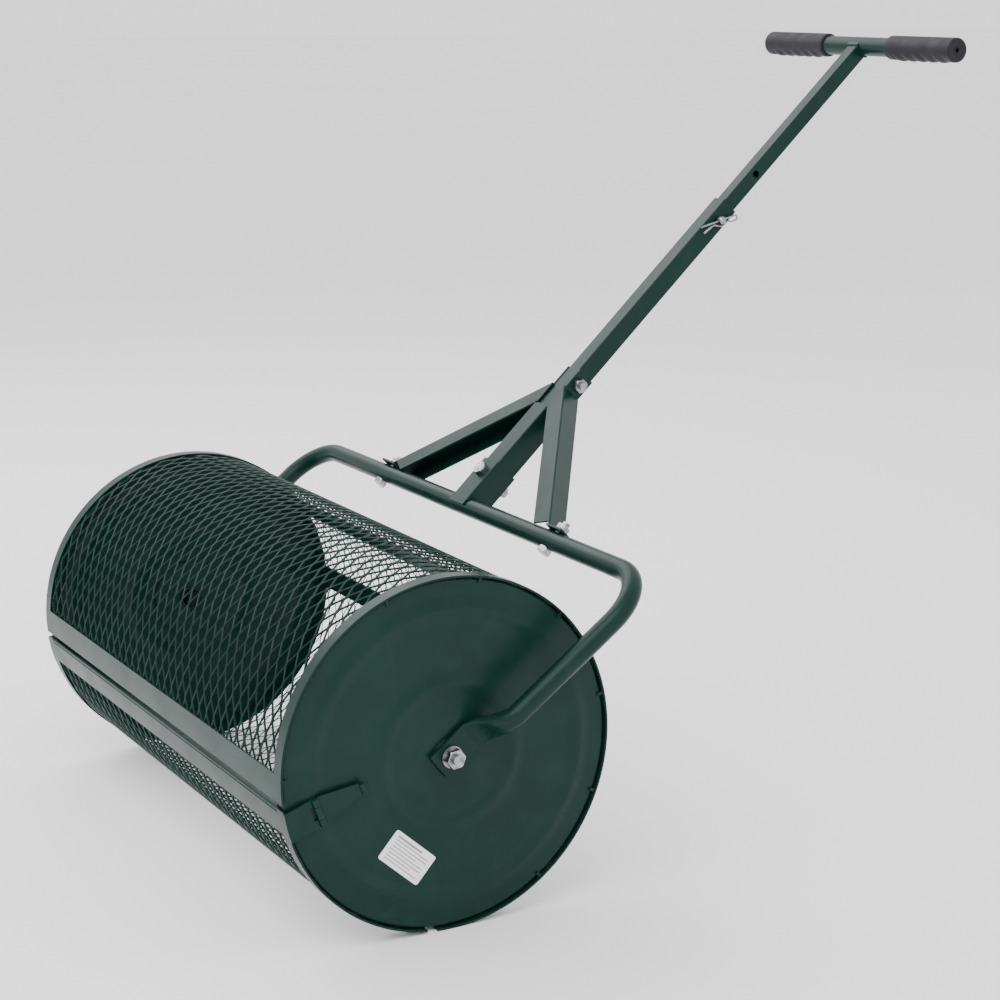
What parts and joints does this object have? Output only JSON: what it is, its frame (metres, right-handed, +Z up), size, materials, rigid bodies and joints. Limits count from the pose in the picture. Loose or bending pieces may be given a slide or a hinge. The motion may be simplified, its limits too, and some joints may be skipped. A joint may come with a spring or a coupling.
{
  "type": "mesh drum spreader",
  "caption": "Walk-behind mesh drum roller with a hinged filling door, a tubular yoke, braces and a two-stage T-handle, for rolling out compost or topsoil.",
  "frame": {"origin": "centre of the bounding box at floor level, with the drum standing on the floor", "axes": "+X from the drum towards the handle grips, along the rolling direction; +Y along the axle; +Z up"},
  "size_m": [0.8338, 0.7052, 0.7626],
  "materials": {
    "green_paint": "dark green gloss powder coat over steel",
    "zinc": "bright zinc plate",
    "grip_rubber": "matt moulded grip",
    "label_paper": "white adhesive label",
    "bushing_plastic": "dark moulded nylon"
  },
  "bodies": {
    "frame": {"yoke_tube": "green_paint", "handle_socket": "green_paint", "handle_strut": "green_paint", "brace_near": "green_paint", "brace_far": "green_paint", "lower_handle_tube": "green_paint", "upper_handle_tube": "green_paint", "tee_tube": "green_paint", "grip_near": "grip_rubber", "grip_far": "grip_rubber", "brace_foot_bolts": "zinc", "brace_foot_nuts": "zinc", "socket_bolt": "zinc", "socket_nut": "zinc", "brace_top_bolt": "zinc", "brace_top_nut": "zinc", "axle_bolts": "zinc", "axle_nuts": "zinc", "axle_washers": "zinc", "axle_sleeves": "zinc", "weld_beads": "green_paint"},
    "drum": {"end_cap_near": "green_paint", "end_cap_far": "green_paint", "end_hoop_near": "green_paint", "end_hoop_far": "green_paint", "mesh_shell": "green_paint", "split_bar": "green_paint", "hinge_bar": "green_paint", "back_bar": "green_paint", "seam_bar": "green_paint", "hub_plates": "green_paint", "hub_bushings": "bushing_plastic", "cap_welds": "green_paint", "label": "label_paper", "hinge_leaves_fixed": "green_paint", "hinge_pins": "zinc"},
    "door": {"door_shell": "green_paint", "door_edge_bar": "green_paint", "door_edge_lip": "green_paint", "door_hinge_bar": "green_paint", "door_hoop_near": "green_paint", "door_hoop_far": "green_paint", "hinge_leaves_door": "green_paint", "latch_base_near": "green_paint", "latch_base_far": "green_paint", "latch_pins": "zinc"},
    "latch_near": {"latch_lever_near": "green_paint"},
    "latch_far": {"latch_lever_far": "green_paint"},
    "pin": {"hitch_pin": "zinc"},
    "clip": {"r_clip": "zinc"}
  },
  "joints": [
    {"name": "drum_roll", "type": "hinge", "parent": "frame", "child": "drum", "pos_m": [-0.25593, 0, 0.161], "axis": [0, 1, 0], "continuous": true},
    {"name": "door_hinge", "type": "hinge", "parent": "drum", "child": "door", "pos_m": [-0.27409, 0, 0.00405], "axis": [0, -1, 0], "range_deg": [0, 110]},
    {"name": "latch_near_lift", "type": "hinge", "parent": "door", "child": "latch_near", "pos_m": [-0.38322, -0.3082, 0.13307], "axis": [0.342, 0, -0.9397], "range_deg": [0, 160]},
    {"name": "latch_far_lift", "type": "hinge", "parent": "door", "child": "latch_far", "pos_m": [-0.38322, 0.3082, 0.13307], "axis": [-0.342, 0, 0.9397], "range_deg": [0, 160]},
    {"name": "hitch_pin_pull", "type": "slide", "parent": "frame", "child": "pin", "axis": [0, 1, 0], "range_m": [0, 0.04]},
    {"name": "r_clip_pull", "type": "slide", "parent": "pin", "child": "clip", "axis": [0.9694, 0, 0.2453], "range_m": [0, 0.045], "deforming": ["r_clip"]}
  ]
}
